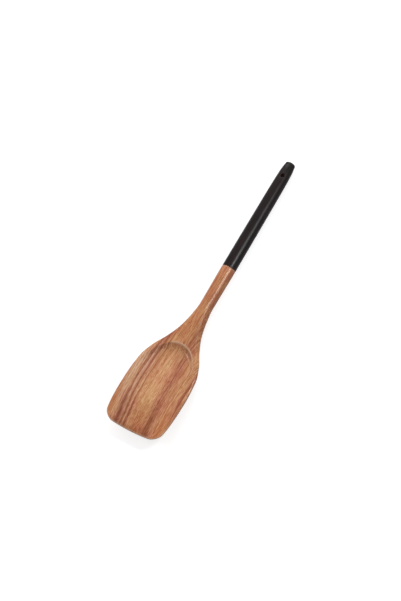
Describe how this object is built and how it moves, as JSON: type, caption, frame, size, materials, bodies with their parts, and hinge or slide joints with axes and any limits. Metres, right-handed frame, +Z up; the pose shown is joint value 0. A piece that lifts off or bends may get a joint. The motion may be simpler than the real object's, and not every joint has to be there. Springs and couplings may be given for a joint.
{
  "type": "wooden spatula",
  "caption": "Wooden kitchen spatula with a scooped, square-ended blade, a slim neck and a black oval handle with a hanging hole.",
  "frame": {"origin": "on the table, under the middle of the spatula's length and width as it lies face up", "axes": "+X along the length towards the handle's end, +Y across the blade, +Z up out of the scooped face"},
  "size_m": [0.33, 0.0672, 0.0184],
  "materials": {
    "oiled_acacia": "oiled, satin",
    "black_lacquered_wood": "thin black lacquer, satin",
    "beech": "plain, unfinished"
  },
  "bodies": {
    "root": {"spatula_head": "oiled_acacia", "handle": "black_lacquered_wood", "joint_dowel": "beech"}
  },
  "joints": []
}
